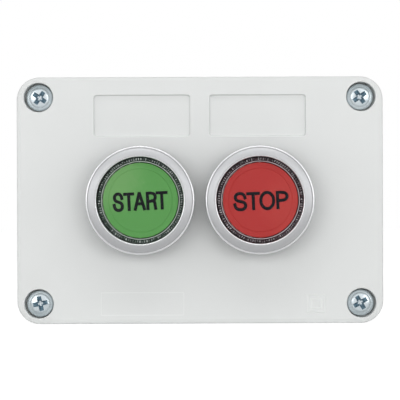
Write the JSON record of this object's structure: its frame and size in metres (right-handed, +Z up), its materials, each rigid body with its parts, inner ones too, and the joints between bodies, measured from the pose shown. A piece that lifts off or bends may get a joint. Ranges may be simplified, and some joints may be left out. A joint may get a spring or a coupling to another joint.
{
  "type": "pushbutton control station",
  "caption": "Landscape moulded plastic box with two flush push buttons, clear caps over coloured legends, satin bezels, sunk cover screws and contact blocks inside.",
  "frame": {"origin": "centre of the box's flat back face, which lies against the wall", "axes": "+Y out of the back face into the wall, -Y out of the buttons, +X to the right seen from the front, +Z up"},
  "size_m": [0.1, 0.0686, 0.0674],
  "materials": {
    "cover_abs": "light grey ABS, fine satin texture",
    "base_abs": "light grey ABS, fine satin texture",
    "bezel_metal": "satin",
    "clear_cap": "clear acrylic",
    "green_legend": "satin green",
    "red_legend": "satin red",
    "black_nylon": "moulded",
    "white_nylon": "moulded",
    "seal_rubber": "matte",
    "zinc_steel": "bright zinc plated",
    "spring_steel": "drawn wire",
    "contact_brass": "stamped"
  },
  "bodies": {
    "station": {"rear_base": "base_abs", "front_cover": "cover_abs", "cover_gasket": "seal_rubber", "cover_screw_top_left": "zinc_steel", "cover_screw_top_right": "zinc_steel", "cover_screw_bottom_left": "zinc_steel", "cover_screw_bottom_right": "zinc_steel", "start_bezel": "bezel_metal", "start_actuator_body": "black_nylon", "start_panel_seal": "seal_rubber", "start_return_spring": "spring_steel", "start_mounting_nut": "black_nylon", "start_mounting_collar": "black_nylon", "start_contact_block": "black_nylon", "start_contact_block_lid": "black_nylon", "start_contact_spring": "spring_steel", "start_upper_terminal": "contact_brass", "start_lower_terminal": "contact_brass", "start_upper_terminal_screw": "zinc_steel", "start_lower_terminal_screw": "zinc_steel", "stop_bezel": "bezel_metal", "stop_actuator_body": "black_nylon", "stop_panel_seal": "seal_rubber", "stop_return_spring": "spring_steel", "stop_mounting_nut": "black_nylon", "stop_mounting_collar": "black_nylon", "stop_contact_block": "black_nylon", "stop_contact_block_lid": "black_nylon", "stop_contact_spring": "spring_steel", "stop_upper_terminal": "contact_brass", "stop_lower_terminal": "contact_brass", "stop_upper_terminal_screw": "zinc_steel", "stop_lower_terminal_screw": "zinc_steel"},
    "start_button": {"start_plunger": "white_nylon", "start_lens_cap": "clear_cap", "start_legend_disc": "green_legend", "start_retaining_clip": "spring_steel"},
    "start_stem": {"start_contact_stem": "white_nylon"},
    "start_bridge": {"start_contact_bridge": "contact_brass"},
    "stop_button": {"stop_plunger": "white_nylon", "stop_lens_cap": "clear_cap", "stop_legend_disc": "red_legend", "stop_retaining_clip": "spring_steel"},
    "stop_stem": {"stop_contact_stem": "white_nylon"},
    "stop_bridge": {"stop_contact_bridge": "contact_brass"}
  },
  "joints": [
    {"name": "start_press", "type": "slide", "parent": "station", "child": "start_button", "axis": [0, 1, 0], "range_m": [0, 0.004], "stiffness_N_per_m": 700, "springref_m": -0.005, "deforming": ["start_return_spring"]},
    {"name": "start_stem_slide", "type": "slide", "parent": "station", "child": "start_stem", "axis": [0, 1, 0], "range_m": [0, 0.004]},
    {"name": "start_bridge_slide", "type": "slide", "parent": "station", "child": "start_bridge", "axis": [0, 1, 0], "range_m": [0, 0.0024], "deforming": ["start_contact_spring"]},
    {"name": "stop_press", "type": "slide", "parent": "station", "child": "stop_button", "axis": [0, 1, 0], "range_m": [0, 0.004], "stiffness_N_per_m": 700, "springref_m": -0.005, "deforming": ["stop_return_spring"]},
    {"name": "stop_stem_slide", "type": "slide", "parent": "station", "child": "stop_stem", "axis": [0, 1, 0], "range_m": [0, 0.004]},
    {"name": "stop_bridge_slide", "type": "slide", "parent": "station", "child": "stop_bridge", "axis": [0, 1, 0], "range_m": [0, 0.0033], "deforming": ["stop_contact_spring"]}
  ],
  "couplings": [
    {"joint": "start_stem_slide", "follows": "start_press", "ratio": 1},
    {"joint": "start_bridge_slide", "follows": "start_press", "ratio": 0.6},
    {"joint": "stop_stem_slide", "follows": "stop_press", "ratio": 1},
    {"joint": "stop_bridge_slide", "follows": "stop_press", "ratio": 0.825}
  ]
}
